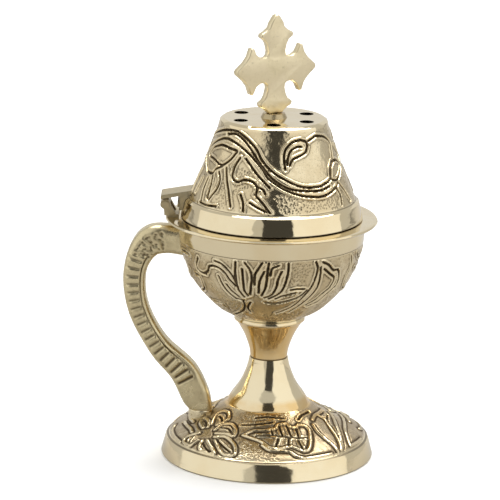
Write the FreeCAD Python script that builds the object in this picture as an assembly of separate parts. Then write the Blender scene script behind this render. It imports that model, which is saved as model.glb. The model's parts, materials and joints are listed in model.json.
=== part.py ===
"""A footed brass hand censer: foot, bowl, hinged lid with a cross, side handle and loose charcoal pan.

Millimetres, +Z up. The origin is the centre of the ring that the foot stands on.
The handle and the lid's hinge lie on the -X side.
"""
import FreeCAD, Part
import math
import os

# ---- driving dimensions ----------------------------------------------------------------------------
SEAM_Z = 33.6              # where the foot ends and the bowl's neck begins
SEAM_GAP = 0.05            # half of the gap left at that joint
FOOT_R = 35.6              # outer radius of the foot's ring
FOOT_RING_R = 32.2         # inner radius of the foot's ring
FOOT_BAND_Z = 6.0          # top of the plain band round the foot
FOOT_CEILING_Z = 22.5      # flat ceiling of the foot's hollow, where the stem nut pulls
STEM_TOP_R = 6.5           # top of the trumpet stem
NECK_R = 6.2               # bottom of the bowl's neck
BEAD_Z = 47.2              # middle of the bead under the bowl
BEAD_R = 11.9              # crest of that bead
BOWL_FLOOR_Z = 51.5        # inside of the bowl, at the middle
BAND_Z = 74.3              # bottom of the plain band round the bowl
FLANGE_R = 35.3            # outer radius of the bowl's flange
FLANGE_UNDER_Z = 80.8      # underside of the flange at its lip
FLANGE_Z = 81.9            # top of the flange, where the lid rests
MOUTH_R = 28.9             # recess in the bowl's mouth that takes the lid's lip
MOUTH_STEP_Z = 79.8        # bottom of that recess
BOWL_BORE_R = 28.0         # bore of the bowl below the recess
LID_SEAT_GAP = 0.2         # between the lid's skirt and the flange
LID_R = 30.3               # bottom of the lid's skirt
LIP_R = 28.5               # lip under the lid, inside the bowl's mouth
LIP_DEPTH = 1.7            # how far the lip reaches down
SKIRT_Z = 87.8             # top of the lid's plain band
LID_TOP_Z = 115.6          # flat top of the lid
LID_TOP_R = 17.9           # its radius before the edge is rounded
VENT_R = 2.35              # smoke holes
VENT_PITCH_R = 12.5
VENT_COUNT = 6
COLLAR_H = 1.5             # cone under the cross
COLLAR_BASE_R = 4.4
COLLAR_TOP_R = 3.6
CROSS_Z = 131.8            # middle of the cross
CROSS_UP = 18.2            # middle to the tip of the upper arm
CROSS_SIDE = 15.4          # middle to the tip of a side arm
CROSS_THICK = 2.6
CROSS_TURN = 33.0          # the cross is turned this many degrees about its tang
TANG_R = 1.75              # threaded tang under the cross
HANDLE_WIDE = 8.0          # handle, across (along Y)
HANDLE_ROUND = 2.2         # rounding of its long edges
SEAT_X = -22.4             # handle's seat on the foot
SEAT_R = 4.3
SEAT_Z = 15.2              # top of that seat
SEAT_UNDER_Z = 9.0         # its flat underside, inside the foot
HANDLE_SCREW_Z = 72.8      # height of the screw into the handle's top
SCREW_R = 1.5
SCREW_HEAD_R = 2.7
SCREW_HEAD_H = 1.7
SCREW_SLOT = 0.8
WASHER_H = 0.75
HINGE_X = -35.3            # hinge pin axis, along Y
HINGE_Z = 86.2
PIN_R = 0.8
KNUCKLE_R = 1.65
LEAF_HALF = 2.3            # half width of the middle knuckle
HINGE_HALF = 4.4           # half width of the whole hinge
LEAF_UNDER = 1.8           # underside of the leaf above the pin's axis
LEAF_THICK = 1.3
LEAF_RISE = 2.0            # how much the strap climbs towards the lid
LEAF_REACH = 1.6           # how far the leaf passes the pin's axis
TAB_HALF = 4.0             # tab of the leaf against the lid's skirt, with the two rivets
TAB_THICK = 1.2
RIVET_R = 0.8
RIVET_Y = 2.6
PAN_R = 22.3               # rim of the charcoal pan
PAN_FLOOR_Z = 51.8
PAN_TOP_Z = 76.0
PAN_WALL = 1.2
STUD_R = 2.5
FIT = 0.05                 # clearance of a screw or pin in its hole
FREE_HOLE = 0.15           # clearance of a shank that only passes through

V = FreeCAD.Vector
X_AXIS = V(1, 0, 0)
Y_AXIS = V(0, 1, 0)
Z_AXIS = V(0, 0, 1)
LID_SEAT_Z = FLANGE_Z + LID_SEAT_GAP
COLLAR_TOP_Z = LID_TOP_Z + COLLAR_H


# ---- helpers -----------------------------------------------------------------------------------------
def line(a, b):
    """Straight edge in the XZ plane between two (x, z) points."""
    return Part.LineSegment(V(a[0], 0, a[1]), V(b[0], 0, b[1])).toShape()


def curve(points):
    """Smooth edge in the XZ plane through a few (x, z) points."""
    spline = Part.BSplineCurve()
    spline.interpolate([V(x, 0, z) for x, z in points])
    return spline.toShape()


def arc(a, mid, b):
    """Circular edge in the XZ plane through three (x, z) points."""
    return Part.Arc(*[V(x, 0, z) for x, z in (a, mid, b)]).toShape()


def outline(stretches):
    """Closed face in the XZ plane; each stretch is a list of points, and two points are a straight line."""
    edges = []
    for points in stretches:
        edges.append(line(*points) if len(points) == 2 else curve(points))
    return Part.Face(Part.Wire(edges))


def turned(stretches):
    """Solid of revolution about Z of an (r, z) outline."""
    solid = outline(stretches).revolve(V(0, 0, 0), Z_AXIS, 360)
    return Part.makeSolid(solid) if solid.ShapeType == "Shell" else solid


def cylinder(radius, start, length, axis=Z_AXIS):
    """Cylinder from a start point along an axis."""
    return Part.makeCylinder(radius, length, V(*start), axis)


def tube(outer, inner, start, length, axis=Z_AXIS):
    """Washer or sleeve."""
    return cylinder(outer, start, length, axis).cut(cylinder(inner, start, length, axis))


def hex_nut(across_flats, bore, start, height):
    """Hexagonal nut standing on start, its axis along Z."""
    reach = across_flats / math.sqrt(3)
    corners = [V(reach * math.cos(k * math.pi / 3), reach * math.sin(k * math.pi / 3), 0) for k in range(7)]
    blank = Part.Face(Part.makePolygon(corners)).extrude(V(0, 0, height))
    blank.translate(V(*start))
    return blank.cut(cylinder(bore, start, height))


def round_edges(solid, radius, wanted):
    """Fillet the edges that the test picks."""
    return solid.makeFillet(radius, [edge for edge in solid.Edges if wanted(edge)])


def save(name, shape):
    """Write one sub-part."""
    shape.removeSplitter().exportStep("parts/" + name + ".step")


# ---- outlines that more than one piece uses ------------------------------------------------------------
DOME = [(33.2, 6.6), (31.0, 8.6), (26.3, 11.1), (20.5, 13.7), (13.9, 17.8)]
TRUMPET = [(13.9, 17.8), (12.4, 20.6), (9.4, 25.0), (7.3, 30.0), (STEM_TOP_R, SEAM_Z - SEAM_GAP)]
BOWL_BODY = [(11.4, 48.1), (18.8, 52.6), (26.4, 61.5), (30.0, 71.2), (30.7, BAND_Z)]
BAND = [(30.7, BAND_Z), (31.35, 80.3)]
FLANGE_UNDER = [BAND[1], (32.0, 80.65), (FLANGE_R - 0.5, FLANGE_UNDER_Z)]
SKIRT = [(LID_R, LID_SEAT_Z), (29.0, SKIRT_Z)]
LID_BODY = [(27.7, 88.7), (24.8, 95.5), (21.4, 103.5), (18.6, 111.8), (LID_TOP_R, 114.6)]


def grown(points, gap):
    """The same (r, z) points further out by a gap."""
    return [(r + gap, z) for r, z in points]


def bowl_outside(gap):
    """Solid of the bowl's outside from its bead to the flange, to saddle the handle."""
    body = grown(BOWL_BODY, gap)
    under = grown(FLANGE_UNDER, gap)
    low, high = body[0][1], under[-1][1]
    return turned([
        [(0, low), body[0]],
        body,
        grown(BAND, gap),
        under,
        [under[-1], (0, high)],
        [(0, high), (0, low)],
    ])


def lid_outside(gap):
    """Solid of the lid's outside, to fit the hinge leaf to it."""
    skirt = grown(SKIRT, gap)
    body = grown(LID_BODY, gap)
    low, high = skirt[0][1] - 1, body[-1][1]
    return turned([
        [(0, low), (skirt[0][0], low)],
        [(skirt[0][0], low), skirt[0]],
        skirt,
        [skirt[1], body[0]],
        body,
        [body[-1], (0, high)],
        [(0, high), (0, low)],
    ])


# ---- body of the censer ---------------------------------------------------------------------------------
def foot():
    """Hollow bell foot with its stem, the seat for the handle and the two screw holes."""
    top = SEAM_Z - SEAM_GAP
    shell = turned([
        [(FOOT_R, 0), (34.1, FOOT_BAND_Z)],
        [(34.1, FOOT_BAND_Z), DOME[0]],
        DOME,
        TRUMPET,
        [(STEM_TOP_R, top), (0, top)],
        [(0, top), (0, FOOT_CEILING_Z)],
        [(0, FOOT_CEILING_Z), (8.0, FOOT_CEILING_Z)],
        [(8.0, FOOT_CEILING_Z), (11.4, 17.2), (18.5, 12.2), (25.5, 8.7), (31.4, 4.4)],
        [(31.4, 4.4), (FOOT_RING_R, 0)],
        [(FOOT_RING_R, 0), (FOOT_R, 0)],
    ])
    body = shell.fuse(cylinder(SEAT_R, (SEAT_X, 0, SEAT_UNDER_Z), SEAT_Z - SEAT_UNDER_Z))
    body = body.cut(cylinder(SEAT_R - 0.3, (SEAT_X, 0, SEAT_UNDER_Z - 4), 4))
    body = body.cut(cylinder(STUD_R + FREE_HOLE, (0, 0, FOOT_CEILING_Z - 1), 20))
    return body.cut(cylinder(SCREW_R + FREE_HOLE, (SEAT_X, 0, 0), 20))


def bowl():
    """Cup with a solid neck tapped for the stud, a plain band and the flange that the lid rests on."""
    bottom = SEAM_Z + SEAM_GAP
    cup = turned([
        [(0, bottom), (NECK_R, bottom)],
        [(NECK_R, bottom), (6.7, 37.0), (8.5, 41.8), (11.0, 46.2)],
        [(11.0, 46.2), (BEAD_R, BEAD_Z), BOWL_BODY[0]],
        BOWL_BODY,
        BAND,
        FLANGE_UNDER,
        [(FLANGE_R - 0.5, FLANGE_UNDER_Z), (FLANGE_R, 81.3), (FLANGE_R - 0.6, FLANGE_Z)],
        [(FLANGE_R - 0.6, FLANGE_Z), (MOUTH_R, FLANGE_Z)],
        [(MOUTH_R, FLANGE_Z), (MOUTH_R, MOUTH_STEP_Z)],
        [(MOUTH_R, MOUTH_STEP_Z), (BOWL_BORE_R, MOUTH_STEP_Z)],
        [(BOWL_BORE_R, MOUTH_STEP_Z), (BOWL_BORE_R, 70.0)],
        [(BOWL_BORE_R, 70.0), (26.4, 65.5), (20.6, 57.2), (11.0, BOWL_FLOOR_Z)],
        [(11.0, BOWL_FLOOR_Z), (0, BOWL_FLOOR_Z)],
        [(0, BOWL_FLOOR_Z), (0, bottom)],
    ])
    cup = cup.cut(cylinder(STUD_R + FIT, (0, 0, SEAM_Z - 1), 13.4))
    spot_face = cylinder(SCREW_HEAD_R + 0.6, (-BOWL_BORE_R - 0.3, 0, HANDLE_SCREW_Z), 10, X_AXIS)
    shank = cylinder(SCREW_R + FREE_HOLE, (-40, 0, HANDLE_SCREW_Z), 20, X_AXIS)
    return cup.cut(spot_face).cut(shank)


def lid():
    """Bell-shaped lid: lip, skirt band, body and a flat top with the smoke holes."""
    lip_bottom = LID_SEAT_Z - LIP_DEPTH
    lip_bore = LIP_R - 1.4
    shell = turned([
        SKIRT,
        [SKIRT[1], LID_BODY[0]],
        LID_BODY,
        [LID_BODY[-1], (17.6, 115.3), (16.8, LID_TOP_Z)],
        [(16.8, LID_TOP_Z), (0, LID_TOP_Z)],
        [(0, LID_TOP_Z), (0, LID_TOP_Z - 2.0)],
        [(0, LID_TOP_Z - 2.0), (15.6, LID_TOP_Z - 2.0)],
        [(15.6, LID_TOP_Z - 2.0), (19.4, 103.5), (22.8, 95.5), (26.2, 87.5)],
        [(26.2, 87.5), (lip_bore, lip_bottom + 2.2)],
        [(lip_bore, lip_bottom + 2.2), (lip_bore, lip_bottom)],
        [(lip_bore, lip_bottom), (LIP_R, lip_bottom)],
        [(LIP_R, lip_bottom), (LIP_R, LID_SEAT_Z)],
        [(LIP_R, LID_SEAT_Z), SKIRT[0]],
    ])
    holes = [cylinder(TANG_R + FREE_HOLE, (0, 0, LID_TOP_Z - 5), 10)]
    for k in range(VENT_COUNT):
        angle = math.radians(-90 + k * 360 / VENT_COUNT)
        centre = (VENT_PITCH_R * math.cos(angle), VENT_PITCH_R * math.sin(angle), LID_TOP_Z - 5)
        holes.append(cylinder(VENT_R, centre, 10))
    holes += [rivet_hole(side) for side in (-1, 1)]
    for hole in holes:
        shell = shell.cut(hole)
    return shell


# ---- cross ------------------------------------------------------------------------------------------------
def cross_quarter(right, up):
    """One quarter of the cross's outline, from the tip of an upright arm to the tip of a side arm."""
    def at(x, z):
        return (right * x, up * z)
    return [
        line(at(0, CROSS_UP), at(0.8, CROSS_UP - 0.3)),
        arc(at(0.8, CROSS_UP - 0.3), at(2.7, 14.2), at(6.1, 12.1)),
        line(at(6.1, 12.1), at(6.3, 11.0)),
        arc(at(6.3, 11.0), at(4.1, 8.9), at(3.3, 6.3)),
        arc(at(3.3, 6.3), at(4.0, 4.4), at(6.0, 4.2)),
        arc(at(6.0, 4.2), at(7.9, 5.6), at(9.1, 8.0)),
        line(at(9.1, 8.0), at(10.0, 7.6)),
        arc(at(10.0, 7.6), at(11.9, 3.4), at(CROSS_SIDE - 0.3, 0.8)),
        line(at(CROSS_SIDE - 0.3, 0.8), at(CROSS_SIDE, 0)),
    ]


def cross_finial():
    """Flat cross, its lower tip cut square on the collar, with the tang that goes through the lid."""
    edges = []
    for right in (-1, 1):
        for up in (-1, 1):
            edges += cross_quarter(right, up)
    plate = Part.Face(Part.Wire(Part.sortEdges(edges)[0])).extrude(V(0, CROSS_THICK, 0))
    plate.translate(V(0, -CROSS_THICK / 2, CROSS_Z))
    bottom = COLLAR_TOP_Z + FIT
    plate = plate.cut(Part.makeBox(40, 10, 10, V(-20, -5, bottom - 10)))
    plate.rotate(V(0, 0, 0), Z_AXIS, CROSS_TURN)
    tang_bottom = LID_TOP_Z - 8.0
    return plate.fuse(cylinder(TANG_R, (0, 0, tang_bottom), bottom - tang_bottom))


def cross_collar():
    """Turned cone between the cross and the lid."""
    cone = Part.makeCone(COLLAR_BASE_R, COLLAR_TOP_R, COLLAR_H, V(0, 0, LID_TOP_Z))
    return cone.cut(cylinder(TANG_R + FREE_HOLE, (0, 0, LID_TOP_Z - 1), COLLAR_H + 2))


def cross_washer():
    """Washer under the lid's top."""
    return tube(4.2, TANG_R + FREE_HOLE, (0, 0, LID_TOP_Z - 2.05 - WASHER_H), WASHER_H)


def cross_nut():
    """Nut on the cross's tang."""
    return hex_nut(6.0, TANG_R + FIT, (0, 0, LID_TOP_Z - 2.1 - WASHER_H - 3.2), 3.2)


# ---- handle -----------------------------------------------------------------------------------------------
def handle():
    """Cast S-shaped handle, saddled to the bowl's band at the top and flat on the foot's seat."""
    bottom = SEAT_Z + FIT
    back = [(-28.0, 78.3), (-40.3, 78.1), (-46.3, 72.4), (-49.2, 61.0), (-46.9, 47.5), (-39.6, 34.0),
            (-32.6, 25.6), (-28.6, 17.6), (-26.6, bottom)]
    front = [(-18.6, bottom), (-20.3, 22.2), (-25.0, 30.8), (-34.6, 39.8), (-40.6, 51.0),
             (-41.5, 61.5), (-38.7, 67.6), (-34.6, 68.9), (-28.0, 68.2)]
    blank = outline([back, [back[-1], front[0]], front, [front[-1], back[0]]]).extrude(V(0, HANDLE_WIDE, 0))
    blank.translate(V(0, -HANDLE_WIDE / 2, 0))
    blank = round_edges(blank, HANDLE_ROUND, lambda edge: edge.Length > 60)
    blank = blank.cut(bowl_outside(FIT))
    blank = blank.cut(cylinder(SCREW_R + FIT, (-37.0, 0, HANDLE_SCREW_Z), 12, X_AXIS))
    return blank.cut(cylinder(SCREW_R + FIT, (SEAT_X, 0, bottom - 1), 7))


def slotted_screw(length):
    """Round-headed screw standing on its tip side: head below z = 0, shank above it."""
    head = cylinder(SCREW_HEAD_R, (0, 0, -SCREW_HEAD_H), SCREW_HEAD_H)
    rim = [edge for edge in head.Edges if edge.BoundBox.ZMax < -SCREW_HEAD_H + 0.01]
    head = head.makeFillet(0.7, rim[:1])
    slot = Part.makeBox(8, SCREW_SLOT, 0.8, V(-4, -SCREW_SLOT / 2, -SCREW_HEAD_H))
    return head.cut(slot).fuse(cylinder(SCREW_R, (0, 0, 0), length))


def handle_top_screw():
    """Screw from inside the bowl into the handle's top."""
    screw = slotted_screw(9.0)
    screw.rotate(V(0, 0, 0), Y_AXIS, -90)
    screw.translate(V(-BOWL_BORE_R - 0.3 + WASHER_H + 2 * FIT, 0, HANDLE_SCREW_Z))
    return screw


def handle_top_washer():
    """Washer in the spot face inside the bowl."""
    start = (-BOWL_BORE_R - 0.3 + FIT, 0, HANDLE_SCREW_Z)
    return tube(SCREW_HEAD_R + 0.3, SCREW_R + FREE_HOLE, start, WASHER_H, X_AXIS)


def handle_foot_screw():
    """Screw from under the foot into the handle's lower end."""
    screw = slotted_screw(12.0)
    screw.translate(V(SEAT_X, 0, SEAT_UNDER_Z - WASHER_H - 2 * FIT))
    return screw


def handle_foot_washer():
    """Washer under the seat, inside the foot."""
    start = (SEAT_X, 0, SEAT_UNDER_Z - WASHER_H - FIT)
    return tube(SCREW_HEAD_R + 0.7, SCREW_R + FREE_HOLE, start, WASHER_H)


# ---- hinge ------------------------------------------------------------------------------------------------
def barrel(radius, y_from, y_to):
    """Cylinder on the hinge's axis."""
    return cylinder(radius, (HINGE_X, y_from, HINGE_Z), y_to - y_from, Y_AXIS)


def hinge_bracket():
    """Curved base on the flange with two lugs that carry the outer knuckles."""
    base = tube(FLANGE_R - 0.6, LID_R + 0.7, (0, 0, FLANGE_Z), 1.0)
    base = base.common(Part.makeBox(12, 2 * HINGE_HALF, 5, V(-FLANGE_R, -HINGE_HALF, FLANGE_Z)))
    lug_side = [(-35.9, HINGE_Z), (-35.6, 82.5), (-31.6, 82.5), (-34.0, HINGE_Z + 0.7), (-35.9, HINGE_Z)]
    web = Part.Face(Part.makePolygon([V(x, 0, z) for x, z in lug_side]))
    inner = LEAF_HALF + 0.1
    body = base
    for y_from in (inner, -HINGE_HALF):
        lug = web.extrude(V(0, HINGE_HALF - inner, 0))
        lug.translate(V(0, y_from, 0))
        body = body.fuse(lug).fuse(barrel(KNUCKLE_R, y_from, y_from + HINGE_HALF - inner))
    return body.cut(barrel(PIN_R + FIT, -20, 20))


def hinge_leaf():
    """Strap over the hinge with the middle knuckle, and the tab that is riveted to the lid's skirt."""
    strap_z = HINGE_Z + LEAF_UNDER
    tip = HINGE_X - LEAF_REACH
    lid_end = tip + 11.5
    side = [(tip, strap_z), (tip, strap_z + LEAF_THICK), (lid_end, strap_z + LEAF_THICK + LEAF_RISE),
            (lid_end, strap_z + LEAF_RISE), (tip, strap_z)]
    strap = Part.Face(Part.makePolygon([V(x, -HINGE_HALF, z) for x, z in side]))
    strap = strap.extrude(V(0, 2 * HINGE_HALF, 0))
    strap = round_edges(strap, 0.8, lambda edge: edge.BoundBox.XMax < tip + 0.01
                        and edge.BoundBox.ZMin > strap_z + LEAF_THICK - 0.01)
    tab = tube(LID_R + TAB_THICK - 0.6, 20, (0, 0, strap_z - 3.8), 5.2)
    tab = tab.common(Part.makeBox(12, 2 * TAB_HALF, 10, V(-36, -TAB_HALF, strap_z - 5)))
    web = Part.makeBox(2.2, 2 * LEAF_HALF, LEAF_UNDER + 0.2, V(HINGE_X - 1.1, -LEAF_HALF, HINGE_Z))
    body = strap.fuse(tab).fuse(web).fuse(barrel(KNUCKLE_R, -LEAF_HALF, LEAF_HALF))
    body = body.cut(lid_outside(FIT)).cut(barrel(PIN_R + FIT, -20, 20))
    for side in (-1, 1):
        body = body.cut(rivet_hole(side))
    return body


def hinge_pin():
    """Pin through the knuckles with a small head at each end."""
    reach = HINGE_HALF + 0.1
    body = barrel(PIN_R, -reach - 0.2, reach + 0.2)
    for y_from in (reach, -reach - 0.5):
        body = body.fuse(barrel(PIN_R + 0.4, y_from, y_from + 0.5))
    return body


def rivet_hole(side):
    """Hole for one hinge rivet, along X."""
    return cylinder(RIVET_R + FIT, (-34, side * RIVET_Y, HINGE_Z), 10, X_AXIS)


def hinge_rivets():
    """Two rivets through the leaf's tab and the lid's skirt, with a head inside and outside."""
    rivets = []
    for side in (-1, 1):
        y = side * RIVET_Y
        shank = cylinder(RIVET_R, (-31.3, y, HINGE_Z), 6.0, X_AXIS)
        outer = cylinder(RIVET_R + 0.5, (-31.3, y, HINGE_Z), 0.4, X_AXIS)
        inner = cylinder(RIVET_R + 0.5, (-25.9, y, HINGE_Z), 0.6, X_AXIS)
        rivets.append(shank.fuse(outer).fuse(inner))
    return Part.makeCompound(rivets)


# ---- fasteners of the stem, and the pan ------------------------------------------------------------------
def stem_stud():
    """Threaded stud from the foot's hollow up into the bowl's neck."""
    return cylinder(STUD_R, (0, 0, 15.8), 29.8)


def stem_washer():
    """Washer against the ceiling of the foot's hollow."""
    return tube(5.6, STUD_R + FREE_HOLE, (0, 0, FOOT_CEILING_Z - FIT - WASHER_H), WASHER_H)


def stem_nut():
    """Nut that pulls the foot up against the bowl."""
    return hex_nut(8.0, STUD_R + FIT, (0, 0, FOOT_CEILING_Z - 2 * FIT - WASHER_H - 4.0), 4.0)


def charcoal_pan():
    """Loose spun pan that holds the charcoal, with a thickened rim."""
    return turned([
        [(0, PAN_FLOOR_Z), (9.5, PAN_FLOOR_Z)],
        [(9.5, PAN_FLOOR_Z), (16.8, 56.8), (20.5, 64.0), (21.5, PAN_TOP_Z - 1.4)],
        [(21.5, PAN_TOP_Z - 1.4), (PAN_R, PAN_TOP_Z - 0.7)],
        [(PAN_R, PAN_TOP_Z - 0.7), (PAN_R - 0.5, PAN_TOP_Z)],
        [(PAN_R - 0.5, PAN_TOP_Z), (PAN_R - 2.0, PAN_TOP_Z)],
        [(PAN_R - 2.0, PAN_TOP_Z), (19.3, 64.7), (15.9, 57.8), (9.3, PAN_FLOOR_Z + PAN_WALL)],
        [(9.3, PAN_FLOOR_Z + PAN_WALL), (0, PAN_FLOOR_Z + PAN_WALL)],
        [(0, PAN_FLOOR_Z + PAN_WALL), (0, PAN_FLOOR_Z)],
    ])


PIECES = [
    foot, bowl, lid, cross_finial, cross_collar, cross_washer, cross_nut, handle, handle_top_screw,
    handle_top_washer, handle_foot_screw, handle_foot_washer, hinge_bracket, hinge_leaf, hinge_pin,
    hinge_rivets, stem_stud, stem_washer, stem_nut, charcoal_pan,
]

os.makedirs("parts", exist_ok=True)
for piece in PIECES:
    save(piece.__name__, piece())
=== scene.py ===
"""Footed brass hand censer: chased foot, bowl and bell lid, with a cast handle, a hinge and a cross."""

import json
import math
from math import cos, pi, radians, sin

import bmesh
import bpy
import numpy as np
from bpy.props import FloatProperty, FloatVectorProperty, IntProperty, PointerProperty
from mathutils import Matrix, Vector

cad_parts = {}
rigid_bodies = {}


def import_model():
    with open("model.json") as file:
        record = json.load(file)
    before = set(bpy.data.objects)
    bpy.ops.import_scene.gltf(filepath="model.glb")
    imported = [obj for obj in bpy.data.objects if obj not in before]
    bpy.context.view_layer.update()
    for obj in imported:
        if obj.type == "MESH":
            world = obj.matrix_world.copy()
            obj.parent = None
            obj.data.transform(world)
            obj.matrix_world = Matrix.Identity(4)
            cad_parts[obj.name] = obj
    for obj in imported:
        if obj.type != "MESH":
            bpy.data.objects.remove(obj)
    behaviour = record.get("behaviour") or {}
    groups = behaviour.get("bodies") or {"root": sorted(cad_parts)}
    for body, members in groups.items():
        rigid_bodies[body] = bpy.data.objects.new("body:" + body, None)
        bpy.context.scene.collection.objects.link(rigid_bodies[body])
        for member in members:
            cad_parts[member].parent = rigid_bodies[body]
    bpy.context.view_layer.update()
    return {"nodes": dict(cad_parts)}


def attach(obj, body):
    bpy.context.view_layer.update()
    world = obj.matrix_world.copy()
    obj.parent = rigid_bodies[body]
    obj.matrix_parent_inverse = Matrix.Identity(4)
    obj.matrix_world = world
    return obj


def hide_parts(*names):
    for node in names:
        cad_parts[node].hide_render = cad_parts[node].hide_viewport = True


bl_info = {
    "name": "Brass hand censer",
    "version": (1, 0, 0),
    "blender": (4, 5, 0),
    "location": "View3D > Sidebar > Censer",
    "description": "Builds the pieces of a footed brass hand censer around its packed model",
    "category": "Object",
}

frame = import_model()
MM = 0.001

# ---------------------------------------------------------------- outlines, (radius, height) in mm

FOOT_OUTLINE = [
    ((32.2, 0.0), (35.2, 0.0)),
    ((35.6, 0.5), (34.3, 5.4), (34.1, 6.0)),
    ((33.6, 6.5), (33.2, 6.6)),
    ((33.2, 6.6), (31.0, 8.6), (26.3, 11.1), (20.5, 13.7), (13.9, 17.8)),
    ((13.9, 17.8), (12.4, 20.6), (9.4, 25.0), (7.3, 30.0), (6.5, 33.55)),
    ((6.3, 33.6), (0.0, 33.6)),
]
FOOT_HOLLOW = [
    ((0.0, 22.5), (8.0, 22.5)),
    ((8.0, 22.5), (11.4, 17.2), (18.5, 12.2), (25.5, 8.7), (31.4, 4.4), (32.2, 0.0)),
]
BOWL_OUTLINE = [
    ((0.0, 33.65), (6.2, 33.65)),
    ((6.2, 33.65), (6.7, 37.0), (8.5, 41.8), (11.0, 46.2)),
    ((11.2, 46.4), (11.8, 46.7), (11.9, 47.2), (11.7, 47.8), (11.4, 48.1)),
    ((11.4, 48.1), (18.8, 52.6), (26.4, 61.5), (30.0, 71.2), (30.7, 74.3)),
    ((30.8, 74.5), (31.35, 80.4)),
    ((31.5, 80.6), (34.5, 80.75)),
    ((34.9, 80.85), (35.25, 81.15), (35.25, 81.5), (34.9, 81.8), (34.4, 81.9)),
    ((33.8, 81.9), (28.9, 81.9)),
    ((28.9, 79.8), (28.0, 79.8), (28.0, 70.0)),
    ((28.0, 70.0), (26.4, 65.5), (20.6, 57.2), (11.0, 51.5)),
    ((11.0, 51.5), (0.0, 51.5)),
]
LID_OUTLINE = [
    ((28.5, 80.4), (28.5, 82.1), (30.1, 82.1)),
    ((30.25, 82.2), (30.3, 82.6), (30.1, 82.9), (29.0, 87.5)),
    ((28.9, 87.8), (28.0, 88.2), (27.75, 88.6)),
    ((27.7, 88.7), (24.8, 95.5), (21.4, 103.5), (18.6, 111.8), (17.9, 114.6)),
    ((17.8, 114.9), (17.5, 115.35), (16.8, 115.6)),
    ((16.5, 115.6), (0.0, 115.6)),
]
VENTS = 6              # smoke holes in the lid's top
VENT_R = 2.35
VENT_PITCH_R = 12.5
LID_HOLLOW = [
    ((0.0, 113.6), (15.6, 113.6)),
    ((15.6, 113.6), (19.4, 103.5), (22.8, 95.5), (26.2, 87.5), (27.1, 82.6)),
    ((27.1, 82.6), (27.1, 80.4), (28.5, 80.4)),
]


def smooth_line(points, step):
    """Points every step along the rounded curve through the given ones, the ends kept."""
    pts = [np.array(p, float) for p in points]
    if len(pts) == 2:
        curve = [pts[0] + (pts[1] - pts[0]) * i / 40 for i in range(41)]
    else:
        ends = [2 * pts[0] - pts[1]] + pts + [2 * pts[-1] - pts[-2]]
        curve = [pts[0]]
        for a, b, c, d in zip(ends, ends[1:], ends[2:], ends[3:]):
            for i in range(1, 25):
                t = i / 24
                curve.append(0.5 * (2 * b + (c - a) * t + (2 * a - 5 * b + 4 * c - d) * t ** 2
                                    + (3 * b - a - 3 * c + d) * t ** 3))
    curve = np.array(curve)
    run = np.r_[0, np.cumsum(np.linalg.norm(np.diff(curve, axis=0), axis=1))]
    count = max(1, round(run[-1] / step))
    at = np.linspace(0, run[-1], count + 1)
    return np.stack([np.interp(at, run, curve[:, i]) for i in range(curve.shape[1])], axis=1)


def outline_rows(parts, fine, chased, coarse=2.0):
    """The outline's points: fine steps along the chased part, few along straight plain ones."""
    rows = []
    for n, part in enumerate(parts):
        step = fine if n == chased else (0.7 if len(part) > 3 else coarse)
        if len(part) == 2:
            step = max(coarse, 3.0)
        for p in smooth_line(part, step):
            if not rows or np.linalg.norm(p - rows[-1]) > 0.02:
                rows.append(p)
    return rows


# ---------------------------------------------------------------- modelling by hand

def deselect():
    """Nothing is selected and no object is in edit mode."""
    if bpy.context.object and bpy.context.object.mode != "OBJECT":
        bpy.ops.object.mode_set(mode="OBJECT")
    for o in bpy.context.view_layer.objects:
        o.select_set(False)


def named(name):
    """Names the object that a primitive operator has just added."""
    obj = bpy.context.active_object
    obj.name = name
    obj.data.name = name
    return obj


def edit(obj, mode="VERT"):
    """Opens obj in edit mode with nothing picked, and returns its edit mesh."""
    bpy.context.view_layer.objects.active = obj
    bpy.ops.object.mode_set(mode="EDIT")
    bpy.ops.mesh.select_mode(type=mode)
    bpy.ops.mesh.select_all(action="DESELECT")
    return bmesh.from_edit_mesh(obj.data)


def pick(obj, mesh, kind, test):
    """Picks the vertices, edges or faces that test accepts."""
    for item in getattr(mesh, kind):
        item.select_set(bool(test(item)))
    mesh.select_flush_mode()
    bmesh.update_edit_mesh(obj.data)


def close_up(obj):
    """Merges doubles, turns every face outwards and leaves edit mode."""
    bpy.ops.mesh.select_all(action="SELECT")
    bpy.ops.mesh.remove_doubles(threshold=2e-6)
    bpy.ops.mesh.normals_make_consistent(inside=False)
    bpy.ops.object.mode_set(mode="OBJECT")
    return obj


def apply_all(obj):
    """Applies every modifier in turn."""
    bpy.context.view_layer.objects.active = obj
    for m in [m.name for m in obj.modifiers]:
        bpy.ops.object.modifier_apply(modifier=m)


def soften(obj, width, segments=3, angle=35):
    """Rounds obj's sharp edges."""
    bevel = obj.modifiers.new("edge", "BEVEL")
    bevel.width = width * MM
    bevel.segments = segments
    bevel.limit_method = "ANGLE"
    bevel.angle_limit = radians(angle)
    apply_all(obj)


def smooth(obj, angle=35):
    """Smooth shading that keeps the corners."""
    deselect()
    obj.select_set(True)
    bpy.context.view_layer.objects.active = obj
    bpy.ops.object.shade_smooth_by_angle(angle=radians(angle))
    obj.select_set(False)


def settle(obj):
    """Puts a primitive's place into its mesh."""
    deselect()
    obj.select_set(True)
    bpy.context.view_layer.objects.active = obj
    bpy.ops.object.transform_apply(location=True, rotation=True, scale=True)
    obj.select_set(False)


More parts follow.
